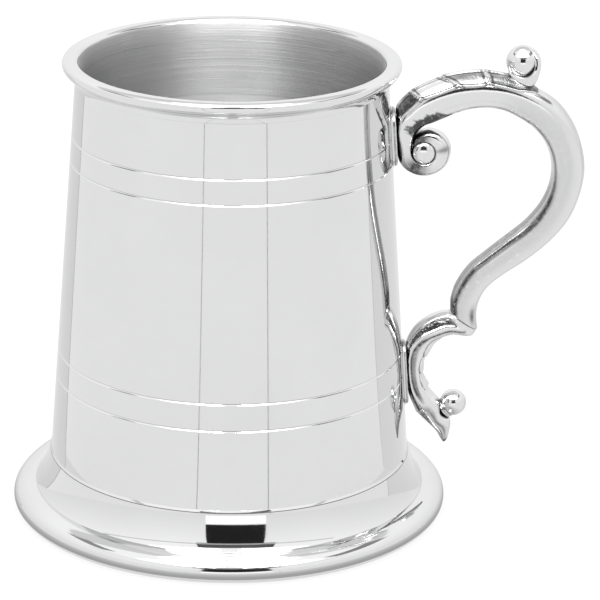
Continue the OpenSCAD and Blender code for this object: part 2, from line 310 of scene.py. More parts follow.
def revolve(profile, n=320, closed=True):
    """Vertices and faces of a profile [radius, height] turned round Z. Radius 0 becomes a pole."""
    prof = np.asarray(profile, float)
    ang = np.linspace(0.0, 2 * math.pi, n, endpoint=False)
    verts, rings = [], []
    for r, z in prof:
        rings.append(len(verts))
        if r < 1e-6:
            verts.append((0.0, 0.0, z))
            continue
        verts.extend(zip(r * np.cos(ang), r * np.sin(ang), np.full(n, z)))
    faces, index = [], []
    m = len(prof)
    for i in range(m if closed else m - 1):
        j = (i + 1) % m
        a, b = rings[i], rings[j]
        pole_a, pole_b = prof[i][0] < 1e-6, prof[j][0] < 1e-6
        if pole_a and pole_b:
            continue
        for k in range(n):
            q = (k + 1) % n
            if pole_a:
                faces.append((a, b + k, b + q))
            elif pole_b:
                faces.append((a + k, b, a + q))
            else:
                faces.append((a + k, b + k, b + q, a + q))
            index.append(i)
    return np.array(verts), faces, index


def lathe(name, profile, mats, n=320, split=None):
    """A turned piece. split(radius, height) gives the material index of a face."""
    prof = hold(profile)
    verts, faces, index = revolve(prof, n)
    face_mats = None
    if split:
        mid = [(prof[i] + prof[(i + 1) % len(prof)]) / 2 for i in index]
        face_mats = [split(*p) for p in mid]
    return piece(name, verts, faces, mats, face_mats=face_mats)


# ---------------------------------------------------------------- turned body, as in the CAD

BARREL_R, TAPER, WALL = 46.0, 0.0702, 1.3
JOINT_Z, LIP_Z, BOTTOM_Z = 15.0, 112.7, 9.6
LINES = (36.05, 42.92, 92.69, 99.02)
LINE_DEPTH, LINE_HALF = 0.22, 0.3
LIP_R, LIP_TOP = 42.3, 118.4
GROOVE = (50.0, 6.4)
FOOT_R = 55.8
FLOOR_Z, FLOOR_T = 13.0, 1.6
PROUD = 0.35


def cone_r(z):
    return BARREL_R - TAPER * (z - JOINT_Z)


def barrel():
    outer = [[cone_r(BOTTOM_Z), BOTTOM_Z]]
    for z in LINES:
        gap = np.linspace(outer[-1][1], z - LINE_HALF, 6)[1:-1]
        outer += [[cone_r(h), h] for h in gap]
        for k in np.linspace(-1.0, 1.0, 9):
            depth = LINE_DEPTH * (1 - abs(k) ** 1.3)
            outer.append([cone_r(z + k * LINE_HALF) - depth, z + k * LINE_HALF])
    outer += [[cone_r(h), h] for h in np.linspace(LINES[-1] + 3, LIP_Z, 5)]
    heights = np.arange(LIP_Z - 0.05, BOTTOM_Z, -0.55)
    ridges = rng.normal(0.0, 0.012, len(heights))
    inner = [[cone_r(h) - WALL + d, h] for h, d in zip(heights, ridges)]
    inner.append([cone_r(BOTTOM_Z) - WALL, BOTTOM_Z])

    def split(r, z):
        return 1 if r < cone_r(z) - 0.6 * WALL else 0
    lathe("look_barrel", outer + inner, [POLISHED, SATIN], split=split)


def lip():
    outer = np.vstack([
        bez([[39.3, LIP_Z + 0.1], [39.4, 113.8], [40.0, 114.8], [40.7, 115.2]], 12),
        bez([[40.9, 115.3], [41.6, 115.5], [LIP_R, 116.2], [LIP_R, 117.1]], 14),
        bez([[LIP_R, 117.2], [LIP_R, 118.0], [41.4, LIP_TOP], [40.4, LIP_TOP]], 14),
        bez([[40.2, LIP_TOP], [39.3, LIP_TOP], [38.5, 118.3], [38.1, 117.3]], 12),
        bez([[38.08, 117.2], [37.86, 116.3], [37.72, 114.6], [cone_r(LIP_Z) - WALL, LIP_Z + 0.1]], 12)[:-1]])
    base = [[cone_r(LIP_Z) - WALL, LIP_Z + 0.1]]
    lathe("look_lip_ring", np.vstack([base, outer]), [POLISHED, SATIN], n=360,
          split=lambda r, z: 1 if r < 38.25 else 0)
    seam_r = cone_r(LIP_Z)
    lathe("look_lip_solder", [[seam_r - WALL, LIP_Z], [seam_r, LIP_Z], [seam_r - 0.02, LIP_Z + 0.1],
                              [seam_r - WALL, LIP_Z + 0.1]], [SOLDER, SATIN],
          split=lambda r, z: 1 if r < seam_r - 0.6 * WALL else 0)


def foot():
    skirt = bez([[cone_r(JOINT_Z) + PROUD, JOINT_Z], [46.9, 12.2], [48.1, 8.7], GROOVE], 30)
    under = bez([[GROOVE[0] - 0.9, GROOVE[1] - 1.1], [47.5, 7.0], [46.6, 8.6],
                 [cone_r(BOTTOM_Z + 1), BOTTOM_Z + 1]], 10)
    lathe("look_foot_skirt", np.vstack([skirt, under, [[cone_r(JOINT_Z), JOINT_Z]]]), POLISHED,
          n=360)
    bead = np.vstack([
        bez([GROOVE, [50.8, 7.0], [55.7, 6.1], [FOOT_R, 2.6]], 32),
        bez([[FOOT_R, 2.5], [FOOT_R, 1.0], [54.9, 0.0], [53.6, 0.0]], 14),
        bez([[51.4, 0.0], [49.9, 0.0], [49.0, 1.2], [49.0, 2.6]], 8),
        [[49.0, GROOVE[1] - 1.8], [GROOVE[0] - 0.9, GROOVE[1] - 1.1]]])
    lathe("look_foot_bead", bead, BEAD, n=360)
    joint = cone_r(JOINT_Z)
    lathe("look_foot_solder", [[joint, JOINT_Z], [joint + PROUD, JOINT_Z],
                               [joint + PROUD - 0.03, JOINT_Z + 0.2], [joint + 0.12, JOINT_Z + 0.5],
                               [cone_r(JOINT_Z + 0.75), JOINT_Z + 0.75]], [POLISHED, SEAM],
          split=lambda r, z: 1 if r > joint + 0.27 and JOINT_Z < z < JOINT_Z + 0.2 else 0)
    lathe("look_bead_solder", [[49.0, GROOVE[1] - 1.8], [GROOVE[0] - 0.9, GROOVE[1] - 1.1],
                               [GROOVE[0] - 1.7, GROOVE[1] - 0.85]], SOLDER)


def floor():
    top = cone_r(FLOOR_Z) - WALL
    radii = np.concatenate([[0.0], np.arange(0.6, top - 0.3, 0.6), [top]])
    marks = rng.normal(0.0, 0.006, len(radii))
    marks[0] = marks[-1] = 0.0
    dish = 0.25 * np.clip(radii / top, 0, 1) ** 4
    upper = [[r, FLOOR_Z - 0.25 + d + m] for r, d, m in zip(radii, dish, marks)]
    low_r = cone_r(FLOOR_Z - FLOOR_T) - WALL
    lower = [[r, FLOOR_Z - FLOOR_T] for r in np.linspace(low_r, 0.0, 12)]
    lathe("look_floor_disc", np.array(upper + lower), SATIN, n=240)
    low = FLOOR_Z - FLOOR_T
    leg = 0.8
    lathe("look_floor_solder", [[low_r, low], [low_r - leg, low],
                                [cone_r(low - leg) - WALL - 0.2, low - 0.45],
                                [cone_r(low - leg) - WALL, low - leg]], SOLDER)


# ---------------------------------------------------------------- swept castings
# A row is [outer x, outer z, inner x, inner z, half depth, bluntness outside, bluntness inside].

ARM = [
    [41.4, 96.3, 44.9, 95.9, 3.4, 0.22, 0.8], [41.2, 99.4, 46.0, 98.8, 3.7, 0.22, 0.8],
    [41.0, 103.2, 48.2, 101.4, 4.0, 0.4, 0.7], [43.0, 107.2, 50.8, 102.4, 4.1, 0.6, 0.6],
    [46.6, 110.2, 53.4, 103.6, 4.2, 0.6, 0.55], [51.8, 112.4, 56.6, 105.0, 4.2, 0.55, 0.5],
    [57.8, 113.8, 60.2, 106.0, 4.2, 0.55, 0.5], [64.0, 114.1, 64.0, 106.3, 4.2, 0.55, 0.5],
    [70.4, 113.2, 68.0, 105.6, 4.2, 0.55, 0.5], [76.4, 111.0, 72.0, 103.6, 4.2, 0.55, 0.5],
    [81.4, 107.8, 75.4, 101.2, 4.2, 0.6, 0.5], [85.4, 102.6, 78.2, 97.9, 4.2, 0.6, 0.5],
    [87.9, 96.6, 79.9, 94.1, 4.2, 0.6, 0.5], [88.9, 90.4, 80.5, 89.9, 4.2, 0.6, 0.5],
    [88.1, 84.0, 79.9, 85.2, 4.2, 0.6, 0.5], [85.6, 77.4, 77.9, 80.6, 4.1, 0.65, 0.5],
    [81.2, 71.5, 74.4, 76.2, 4.1, 0.65, 0.5], [75.4, 66.3, 69.7, 72.2, 4.0, 0.7, 0.5],
    [69.5, 62.1, 64.6, 67.9, 3.9, 0.75, 0.5], [65.6, 58.8, 60.4, 64.2, 3.8, 0.75, 0.5],
    [63.6, 55.4, 57.5, 59.6, 3.7, 0.75, 0.55], [62.9, 51.6, 56.3, 55.6, 3.6, 0.75, 0.6],
    [63.3, 47.4, 56.2, 52.2, 3.5, 0.9, 0.7]]
SCROLL = [
    [56.0, 51.9, 63.1, 47.1, 3.5, 0.7, 0.9], [54.8, 51.9, 61.6, 45.4, 3.5, 0.9, 0.6],
    [52.4, 51.3, 57.4, 45.7, 3.5, 0.9, 0.6], [49.4, 49.6, 54.4, 44.9, 3.6, 0.9, 0.6],
    [46.9, 47.1, 52.1, 43.4, 3.6, 0.7, 0.6], [45.2, 43.4, 50.5, 41.0, 3.6, 0.45, 0.6],
    [45.3, 40.2, 49.5, 38.6, 3.6, 0.22, 0.6], [45.5, 36.8, 49.1, 36.4, 3.6, 0.22, 0.6],
    [45.8, 33.2, 49.6, 33.9, 3.6, 0.25, 0.6], [46.1, 29.4, 50.8, 31.4, 3.5, 0.5, 0.6],
    [48.1, 24.4, 52.4, 29.5, 3.4, 0.8, 0.6]]
TAIL = [
    [48.1, 24.4, 52.4, 29.5, 3.4, 0.8, 0.6], [50.2, 22.3, 54.2, 27.4, 3.2, 0.8, 0.6],
    [52.0, 20.6, 54.9, 24.3, 2.8, 0.8, 0.7], [53.6, 18.8, 57.0, 22.3, 2.3, 0.8, 0.8],
    [54.7, 16.8, 56.9, 18.9, 1.4, 0.9, 0.9], [55.4, 15.9, 56.3, 16.6, 0.6, 1, 1]]
VOLUTE_AT = (48.4, 94.6)
VOLUTE_EYE = (48.15, 94.8)
VOLUTE = [
    [171, 7.1, 3.2, 3.5], [210, 6.8, 2.7, 3.5], [250, 6.3, 2.3, 3.5], [290, 6.3, 2.2, 3.4],
    [330, 6.6, 2.2, 3.4], [370, 6.8, 2.2, 3.3], [405, 6.6, 2.3, 3.2], [440, 5.9, 2.6, 3.0],
    [475, 4.8, 2.8, 2.7], [505, 3.8, 2.8, 2.3]]
THUMB_AT = (72.6, 117.8)
THUMB_BALL = (72.3, 118.05)
THUMB = [
    [-150, 4.4, 3.3, 0.8], [-129, 5.1, 3.1, 1.7], [-108, 5.8, 2.9, 2.5], [-88, 6.4, 2.7, 3.1],
    [-70, 6.6, 2.5, 3.5], [-52, 5.6, 2.4, 3.7], [-34, 4.8, 2.35, 3.7], [-16, 4.45, 2.3, 3.6],
    [10, 4.35, 2.3, 3.2], [35, 4.3, 2.3, 2.6], [60, 4.2, 2.3, 1.9], [90, 4.05, 2.3, 1.3]]


def turn_rows(turns, at):
    rows = []
    for deg, far, near, half in turns:
        c, s = math.cos(math.radians(deg)), math.sin(math.radians(deg))
        rows.append([at[0] + far * c, at[1] + far * s, at[0] + near * c, at[1] + near * s, half, 0.85, 0.3])
    return rows


def row_at(rows, u):
    """Rows between the given ones, on a smooth curve. u is an array of row numbers."""
    r = np.asarray(rows, float)
    u = np.asarray(u, float)
    i = np.clip(np.floor(u).astype(int), 0, len(r) - 2)
    t = (u - i)[:, None]
    a, b, c, d = r[np.maximum(i - 1, 0)], r[i], r[i + 1], r[np.minimum(i + 2, len(r) - 1)]
    return 0.5 * (2 * b + (c - a) * t + (2 * a - 5 * b + 4 * c - d) * t ** 2
                  + (3 * b - a - 3 * c + d) * t ** 3)


def section(row, a, t=0.0):
    """Points of the sections row at angles a from the outer side, moved out by t."""
    row = row[:, None, :]
    c, s = np.cos(a), np.sin(a)
    e = np.where(c > 0, row[..., 5], row[..., 6])
    n = np.sign(c) * np.abs(c) ** e
    ux, uz = (row[..., 0] - row[..., 2]) / 2, (row[..., 1] - row[..., 3]) / 2
    h = np.hypot(ux, uz)
    x = (row[..., 0] + row[..., 2]) / 2 + ux * n + ux / h * c * t
    z = (row[..., 1] + row[..., 3]) / 2 + uz * n + uz / h * c * t
    return np.stack([x, row[..., 4] * s + s * t, z], -1)


def even_angles(row, sides):
    """Angles that share each section's outline out evenly, the same on both flanks."""
    a = np.linspace(0.0, math.pi, 241)
    p = section(row, np.tile(a, (len(row), 1)))
    step = np.linalg.norm(np.diff(p, axis=1), axis=2)
    run = np.concatenate([np.zeros((len(row), 1)), np.cumsum(step, 1)], 1)
    half = sides // 2
    out = np.array([np.interp(np.linspace(0, r[-1], half + 1), r, a) for r in run])
    return np.concatenate([out, -out[:, -2:0:-1]], 1)


def lumps(p, size, seed):
    """Slow, smooth unevenness in about -1..1, from a few fixed waves."""
    r = np.random.default_rng(seed)
    out = np.zeros(p.shape[:-1])
    for _ in range(7):
        k = r.normal(0.0, 1.0, 3) / size
        out += np.sin(p @ k + r.uniform(0, 6.28))
    return out / 3.5


def normals(p):
    """Outward normals of a grid of sections, closed round each section."""
    along = np.gradient(p, axis=0)
    around = np.roll(p, -1, 1) - np.roll(p, 1, 1)
    n = np.cross(around, along)
    n /= np.linalg.norm(n, axis=2, keepdims=True) + 1e-12
    mid = p.mean(1, keepdims=True)
    flip = np.sign(((p - mid) * n).sum(2).mean())
    return n * flip


def sweep(name, rows, steps, sides, mats, relief=None, u0=0.0, u1=None, stain_and_shade=None):
    """A bar swept through rows. relief(u, angle, points) is how far each point stands out;
    the darkening function of (u, angle from the outer side) gives how much darker the colour is there, 0..1,
    partly painted shade."""
    last = len(rows) - 1 if u1 is None else u1
    u = np.linspace(u0, last, int(round((last - u0) * steps)) + 1)
    row = row_at(rows, u)
    a = even_angles(row, sides)
    p = section(row, a)
    aged_and_painted_light = np.zeros(a.shape)
    if relief is not None:
        lift = relief(u[:, None] + 0 * a, a, p)
        aged_and_painted_light = np.clip((-lift - 0.09) * 4.5, 0.0, 0.9)
        p = p + normals(p) * lift[..., None]
    if stain_and_shade is not None:
        aged_and_painted_light = np.clip(aged_and_painted_light + stain_and_shade(u[:, None] + 0 * a, np.abs(a)), 0.0, 0.95)
    m = len(u)
    verts = p.reshape(-1, 3)
    faces = [(i * sides + k, i * sides + (k + 1) % sides, (i + 1) * sides + (k + 1) % sides,
              (i + 1) * sides + k) for i in range(m - 1) for k in range(sides)]
    caps = np.array([p[0].mean(0), p[-1].mean(0)])
    top, low = len(verts) + 1, len(verts)
    faces += [(low, (k + 1) % sides, k) for k in range(sides)]
    faces += [(top, (m - 1) * sides + k, (m - 1) * sides + (k + 1) % sides) for k in range(sides)]
    return piece(name, np.vstack([verts, caps]), faces, mats,
                 tarnish_and_painted_light=np.append(aged_and_painted_light.ravel(), [0.5, 0.5]))


def arm_relief(u, a, p):
    """Crease along both inner edges, a soft crest on each flank, and hand-finished unevenness."""
    side = np.abs(a)
    fade = step_up(u, 3.2, 5.0) * (1 - step_up(u, 21.0, 22.0))
    crease = -0.26 * bell(side - 2.27, 0.05) + 0.10 * bell(side - 2.05, 0.10)
    crest = 0.10 * bell(side - 0.95, 0.22) * step_up(u, 9.0, 11.0)
    return fade * (crease + crest) + 0.05 * lumps(p, 4.5, 3)


def arm_stain_and_shade(u, side):
    """Darker along the crease, on the inner face of the lower curve and at the spur; painted shade by the
    root, as a faint band on the flank and along the outer edge."""
    line = 0.6 * bell(side - 2.27, 0.06) * step_up(u, 5.0, 8.0)
    low = step_up(u, 12.6, 14.5) * (1 - step_up(u, 21.0, 22.0))
    streak = 0.95 * bell(side - 2.10 + 0.06 * np.sin(1.7 * u), 0.20) * low
    inner = 0.6 * step_up(side, 2.40, 2.75) * low
    # Painted shade: a faint band down the flank
    shade = 0.16 * bell(side - 1.75, 0.35) * step_up(u, 7.0, 9.0)
    rough_edge = 0.035 * np.sin(8 * u) + 0.02 * np.sin(21 * u)
    # Painted shade by the root, where the arm leaves the curl beside the barrel
    root = 0.97 * step_up(side + rough_edge - 0.05 * (u - 3.0), 1.60, 1.68)
    root = root * step_up(u + 0.5 * (side - 2.0), 1.0, 1.25)
    root = root * (1 - step_up(u - 0.9 * (side - 2.0), 4.2, 4.4))
    wedge = 0.9 * (1 - step_up(side, 1.0, 1.1)) * step_up(u, 1.6, 1.7)
    root = root + wedge * (1 - step_up(u - 1.2 * (side - 1.2), 2.2, 2.35))
    # Painted shade along the outer edge
    edge = 0.24 * (1 - step_up(side, 0.15, 1.1)) * step_up(u, 8.5, 10.5)
    tip = 0.85 * bell(u - 21.2, 0.55) * bell(side - 1.05, 0.22)
    corner = 0.8 * step_up(u, 20.6, 21.4) * step_up(side, 1.85, 2.3)
    return line + streak + inner + shade + root + edge + tip + corner


def volute_painted_shade(u, side):
    """Painted shade under the curl, where its end tucks in beneath the arm, and across its flank."""
    under = 1.05 * bell(u - 1.7, 0.9) * step_up(side, 0.3, 0.9) * (1 - step_up(side, 1.7, 2.4))
    tuck = 0.9 * step_up(u, 6.3, 7.6) * step_up(side, 0.3, 0.7)
    flank_shade = 0.75 * bell(u - 5.1, 0.25) * bell(side - 1.35, 0.5)
    return under + tuck + flank_shade


def handle_arm():
    rows = turn_rows(VOLUTE, VOLUTE_AT)[::-1] + ARM[1:]
    shift = len(VOLUTE) - 1
    sweep("look_handle_arm", rows, 12, 96, CAST,
          lambda u, a, p: arm_relief(u - shift, a, p), u0=shift + 0.5,
          stain_and_shade=lambda u, side: arm_stain_and_shade(u - shift, side))
    sweep("look_root_volute", rows, 16, 96, CAST,
          lambda u, a, p: volute_relief(shift - u, a, p), u1=shift + 0.5,
          stain_and_shade=lambda u, side: volute_painted_shade(shift - u, side))


def volute_relief(u, a, p):
    side = np.abs(a)
    rim = 0.06 * bell(side - 0.9, 0.3)
    return rim * step_up(u, 0.3, 1.5) + 0.06 * lumps(p, 4.5, 3)


def volute_eye():
    cap = [[2.8 * math.sin(t), 2.9 + 1.2 * math.cos(t)] for t in np.linspace(0.0, math.pi / 2, 24)]
    cap = [[0.0, 4.1]] + cap[1:] + [[2.82, 2.6]]
    turned("look_volute_eye", cap + [[r, -z] for r, z in cap[::-1]], VOLUTE_EYE, CAST)


DOME_POINTS = 48
TURNED_POINTS = 96


def dome(r, h, power):
    """Profile of a full round, blunter than a ball where power is over 2."""
    t = np.linspace(0.0, math.pi, DOME_POINTS)
    rr = r * np.sin(t) ** (2 / power)
    zz = h * np.sign(np.cos(t)) * np.abs(np.cos(t)) ** (2 / power)
    rr[0] = rr[-1] = 0.0
    return np.stack([rr, zz], 1)


def turned(name, profile, at, mats, axis="Y"):
    """A small turned piece whose axis is Y, or a direction in the XZ plane, through at."""
    prof = hold(profile, closed=False)
    verts, faces, _ = revolve(prof, TURNED_POINTS, closed=False)
    if axis == "Y":
        verts = verts[:, [0, 2, 1]]
    else:
        turn = Vector((0, 0, 1)).rotation_difference(Vector(axis)).to_matrix()
        verts = verts @ np.array(turn).T
    verts = verts + np.array([at[0], 0.0, at[1]])
    verts = verts + 0.03 * lumps(verts, 2.5, 11)[:, None] * (verts - [at[0], 0.0, at[1]]) / 3.0
    return piece(name, verts, faces, mats)


def thumb():
    def relief(u, a, p):
        return 0.05 * lumps(p, 3.0, 8)

    def stain_and_shade(u, side):
        return 0.95 * step_up(side, 1.75, 2.1) * (1 - step_up(u, 6.8, 8.0))
    sweep("look_thumb_scroll", turn_rows(THUMB, THUMB_AT), 14, 64, CAST, relief,
          stain_and_shade=stain_and_shade)
    turned("look_thumb_eye", dome(4.1, 3.9, 2.0), THUMB_BALL, CAST)


# ---------------------------------------------------------------- acanthus leaf

LEAF_U = (2.25, 9.1)
LEAF_RIBS = (2.25, 3.72, 5.15, 6.85, 9.1)
LEAF_LEAN = (0.0, 0.2, 0.62, 0.15, 0.0)
LEAF_SIDE = math.radians(71)


def sheet_on(name, rows, u, w, centre, spread, height, under, mats, tarnish_and_painted_light=None):
    """A closed relief laid on a swept bar. height and spread are functions of u (and w in -1..1)."""
    uu, ww = np.meshgrid(u, w, indexing="ij")
    row = row_at(rows, u)
    a = centre + ww * spread(uu)
    skin = section(row, a)
    top = section(row, a, height(uu, ww, skin))
    low = section(row, a, under)
    aged_and_painted_light = 0.0 * uu if tarnish_and_painted_light is None else tarnish_and_painted_light(uu, ww, skin)
    m, n = uu.shape
    q = m * n
    faces = []
    for i in range(m - 1):
        for k in range(n - 1):
            c = i * n + k
            faces.append((c, c + 1, c + n + 1, c + n))
            faces.append((q + c, q + c + n, q + c + n + 1, q + c + 1))
    rim = ([(0, k) for k in range(n)] + [(i, n - 1) for i in range(1, m)]
           + [(m - 1, k) for k in range(n - 2, -1, -1)] + [(i, 0) for i in range(m - 2, 0, -1)])
    loop = [i * n + k for i, k in rim]
    faces += [(a0, q + a0, q + b0, b0) for a0, b0 in zip(loop, loop[1:] + loop[:1])]
    verts = np.vstack([top.reshape(-1, 3), low.reshape(-1, 3)])
    return piece(name, verts, faces, mats, tarnish_and_painted_light=np.tile(aged_and_painted_light.ravel(), 2))


def panel_of(u, ribs):
    """Which panel u is in, and how far along it, 0..1."""
    ribs = np.asarray(ribs)
    i = np.clip(np.searchsorted(ribs, u, side="right") - 1, 0, len(ribs) - 2)
    return i, (u - ribs[i]) / (ribs[i + 1] - ribs[i])


def leaf_panel(u, w):
    """Panel number, how far along it (0..1), and distance to its nearest end in rows."""
    edges = [r + k * np.abs(w) for r, k in zip(LEAF_RIBS, LEAF_LEAN)]
    i = sum((u > e).astype(int) for e in edges[1:-1])
    start, end = np.choose(i, edges[:-1]), np.choose(i, edges[1:])
    return i, (u - start) / (end - start), np.minimum(u - start, end - u)


def leaf():
    def spread(u):
        s = leaf_panel(u, 0.9)[1]
        lobe = np.sin(math.pi * np.clip(s, 0, 1)) ** 0.5
        side = LEAF_SIDE * (0.86 + 0.16 * lobe)
        tip = np.sqrt(np.clip((LEAF_U[1] - u) / 0.9, 0.02, 1.0))
        return side * np.where(u > LEAF_U[1] - 0.9, 0.3 + 0.7 * tip, 1.0)

    def height(u, w, p):
        i, s, d = leaf_panel(u, w)
        side = np.abs(w)
        rim = bell(side - 0.90, 0.06)
        second = 0.7 * bell(side - 0.74, 0.04) * (i == 3)
        rib = bell(d, 0.055) * (1 - step_up(side, 0.93, 1.0))
        crest = bell(w, 0.09)
        raised = np.maximum.reduce([rim, second, rib, crest])
        dish = -0.16 * np.sin(math.pi * np.clip(s, 0, 1)) * np.sin(math.pi * np.clip(side, 0, 1)) ** 2
        sand = 0.05 * lumps(p, 0.26, 21) * (1 - raised) * np.choose(i, [0.6, 0.0, 1.0, 0.8])
        edge = step_up(1 - side, 0.0, 0.07)
        ends = step_up(u, LEAF_U[0] - 0.3, LEAF_U[0] + 0.5) * step_up(LEAF_U[1] - u, 0.0, 0.6)
        body = 0.72 + 0.65 * bell(u - 6.2, 1.5) - 0.5 * step_up(side, 0.45, 1.0) * step_up(u, 3.5, 5.0)
        return (body + 0.42 * raised + dish + sand) * edge * ends

    def tarnish_and_painted_light(u, w, p):
        i, s, d = leaf_panel(u, w)
        side = np.abs(w)
        inside = step_up(d, 0.10, 0.17) * (1 - step_up(side, 0.80, 0.85)) * step_up(side, 0.10, 0.16)
        outline = step_up(d, 0.07, 0.12) * (1 - step_up(d, 0.16, 0.24))
        blotch = 0.5 + 0.5 * lumps(p, 1.6, 27)
        # Dark toning of the sunk panels, partly dark polish and partly painted reflection; the second panel
        # is left clear
        tone = np.choose(i, [0.86 + 0.10 * blotch, 0.0, 0.40 + 0.22 * blotch + 0.3 * step_up(s, 0.86, 0.96),
                             0.22 + 0.40 * blotch + 0.35 * step_up(s, 0.5, 0.9)])
        lines = 0.75 * outline + 0.75 * bell(side - 0.82, 0.03) + 0.7 * bell(side - 0.15, 0.035)
        lines = lines + 0.7 * bell(side - 0.69, 0.02) * (i == 3)
        # Painted highlight: the second panel gets a value below zero, which paints its colour near-white
        bright = 0.6 * (i == 1) * step_up(d, 0.14, 0.2)
        bright = bright * (1 - step_up(side, 0.76, 0.8)) * step_up(side, 0.12, 0.16)
        return np.clip(inside * tone + lines * step_up(u, 2.5, 2.8), 0.0, 0.95) - bright
    u = np.linspace(*LEAF_U, 260)
    sheet_on("look_acanthus_leaf", ARM, u, np.linspace(-1, 1, 141), 0.0, spread, height, -0.3,
             RELIEF, tarnish_and_painted_light)


# ---------------------------------------------------------------- lower scroll

def scroll_relief(u, a, p):
    """Outer band, a sunk and sanded channel on each flank with a raised rim, and a plain inner band."""
    side = np.abs(a)
    on = step_up(u, 0.8, 1.3) * (1 - step_up(u, 9.2, 10.0))
    narrow = 0.28 * step_up(u, 2.5, 5.0)
    channel = step_up(side, 0.78, 0.9) * (1 - step_up(side, 1.42 - narrow, 1.52 - narrow))
    sand = 0.06 * lumps(p, 0.3, 31)
    rim = 0.16 * bell(side - 1.62 + narrow, 0.08) - 0.18 * bell(side - 1.80 + narrow, 0.06)
    band = 0.10 * bell(side - 0.66, 0.12)
    return on * (channel * (-0.26 + sand) + rim + band) + 0.04 * lumps(p, 3.0, 33)


def scroll_stain_and_shade(u, side):
    """The channel is darker towards its ends, with painted shadow in the groove along its rim."""
    narrow = 0.28 * step_up(u, 2.5, 5.0)
    inside = step_up(side, 0.78, 0.95) * (1 - step_up(side, 1.38 - narrow, 1.5 - narrow))
    tone = 0.30 + 0.65 * step_up(u, 3.4, 5.4) - 0.35 * bell(u - 1.8, 0.5) + 0.5 * bell(u - 1.05, 0.2)
    outer = 0.45 * (1 - step_up(side, 0.35, 0.7)) * step_up(u, 2.0, 4.5)
    # Painted shadow in the groove beside the rim; a dark line where the channel meets the outer band
    lines = 0.8 * bell(side - 1.82 + narrow, 0.07) + 0.6 * bell(side - 0.76, 0.05)
    on = step_up(u, 0.6, 1.0)
    return on * (inside * tone + outer + lines * (1 - step_up(u, 9.0, 10.0)))


def lower_scroll():
    sweep("look_lower_scroll", SCROLL, 22, 112, CAST, scroll_relief, stain_and_shade=scroll_stain_and_shade)

    husks = (3.0, 5.4, 7.3, 9.0)

    def spread(u):
        s = panel_of(u, husks)[1]
        return math.radians(54) + math.radians(14) * np.sin(math.pi * np.clip(s, 0, 1)) ** 0.5

    def height(u, w, p):
        s = panel_of(u, husks)[1]
        tip = step_up(s, 0.0, 0.85) * (1 - step_up(s, 0.94, 1.0))
        body = 0.22 + 0.42 * tip * (1 - 0.35 * w * w)
        ridge = 0.16 * bell(w, 0.1) - 0.10 * bell(np.abs(w) - 0.45, 0.07)
        edge = step_up(1 - np.abs(w), 0.0, 0.16)
        ends = step_up(u, husks[0], husks[0] + 0.3) * step_up(husks[-1] - u, 0.0, 0.15)
        return (body + ridge) * edge * ends
    sheet_on("look_husk_strip", SCROLL, np.linspace(husks[0], husks[-1], 150), np.linspace(-1, 1, 49),
             math.pi, spread, height, -0.3, RELIEF,
             lambda u, w, p: np.clip(0.8 * bell(np.abs(w) - 0.97, 0.04)
                                     + 0.75 * bell(panel_of(u, husks)[1] - 0.97, 0.035), 0.0, 0.9))

    def tail_relief(u, a, p):
        side = np.abs(a)
        fade = step_up(u, 0.0, 1.2) * (1 - step_up(u, 3.2, 4.6))
        line = 0.12 * bell(side - 0.9, 0.2) - 0.14 * bell(side - 1.45, 0.12)
        return fade * line + 0.03 * lumps(p, 2.5, 41)

    def tail_darkening(u, side):
        # Darker over the outer faces, along the line by the ridge, and at the tip
        flank = (0.50 + 0.2 * np.sin(7 * side + 2 * u)) * (1 - step_up(side, 1.05, 1.3))
        return (flank + 0.5 * bell(side - 1.5, 0.09) * (1 - step_up(u, 3.0, 4.4))) * step_up(u, 0.0, 0.6) \
            + 0.9 * step_up(u, 4.2, 4.6)
    sweep("look_tail_drop", TAIL, 18, 64, CAST, tail_relief, stain_and_shade=tail_darkening)

    ball_r = 3.4
    ball = [[ball_r * math.sin(t), ball_r * math.cos(t)] for t in np.linspace(0.0, 2.25, 40)]
    ball += [[2.5, -2.28], [2.72, -2.4], [2.78, -2.6], [2.6, -2.8], [2.3, -2.86], [2.4, -3.05],
             [2.42, -3.25], [2.1, -3.5], [0.0, -3.55]]
    ball[0][0] = 0.0
    turned("look_scroll_ball", ball, (57.7, 26.8), CAST, axis=(0.80, 0.0, 0.60))

    end, start = ARM[-1], [63.1, 47.1, 56.0, 51.9, 3.5, 0.9, 0.7]
    middle = [(x + y) / 2 for x, y in zip(end, start)]
    middle[4] -= 0.12
    sweep("look_scroll_solder", [end, middle, start], 5, 72, SOLDER,
          lambda u, a, p: -0.10 * bell(u - 1.0, 0.45) + 0.04 * lumps(p, 0.9, 51))


# ---------------------------------------------------------------- wall pads

SLOPE = math.atan(TAPER)
PADS = {"upper": (98.3, 4.6, 7.6, 1.1), "lower": (35.2, 3.9, 8.6, 0.9)}


PAD_POINTS = 120


def stadium(half_w, half_h):
    """Outline of the pad, points [across, up], evenly spaced."""
    straight = half_h - half_w
    length = 4 * straight + 2 * math.pi * half_w
    out = []
    for d in np.linspace(0.0, length, PAD_POINTS, endpoint=False):
        side, d = divmod(d, length / 2)
        sign = 1 if side == 0 else -1
        if d < 2 * straight:
            q = (half_w, d - straight)
        else:
            t = (d - 2 * straight) / half_w
            q = (half_w * math.cos(t), straight + half_w * math.sin(t))
        out.append((sign * q[0], sign * q[1]))
    return np.array(out)


def on_wall(z0, q, reach):
    """Points at pad coordinates q, reach millimetres out from the wall's tangent plane."""
    c, s = math.cos(SLOPE), math.sin(SLOPE)
    x = cone_r(z0) + reach * c - q[..., 1] * s
    z = z0 + reach * s + q[..., 1] * c
    return np.stack([x + 0 * z, q[..., 0], z], -1)


def on_skin(z0, q, out=0.0):
    """The same pad points, on the barrel's own skin."""
    p = on_wall(z0, q, 0.0)
    p[..., 0] = np.sqrt(np.maximum((cone_r(p[..., 2]) + out) ** 2 - p[..., 1] ** 2, 0.0))
    return p


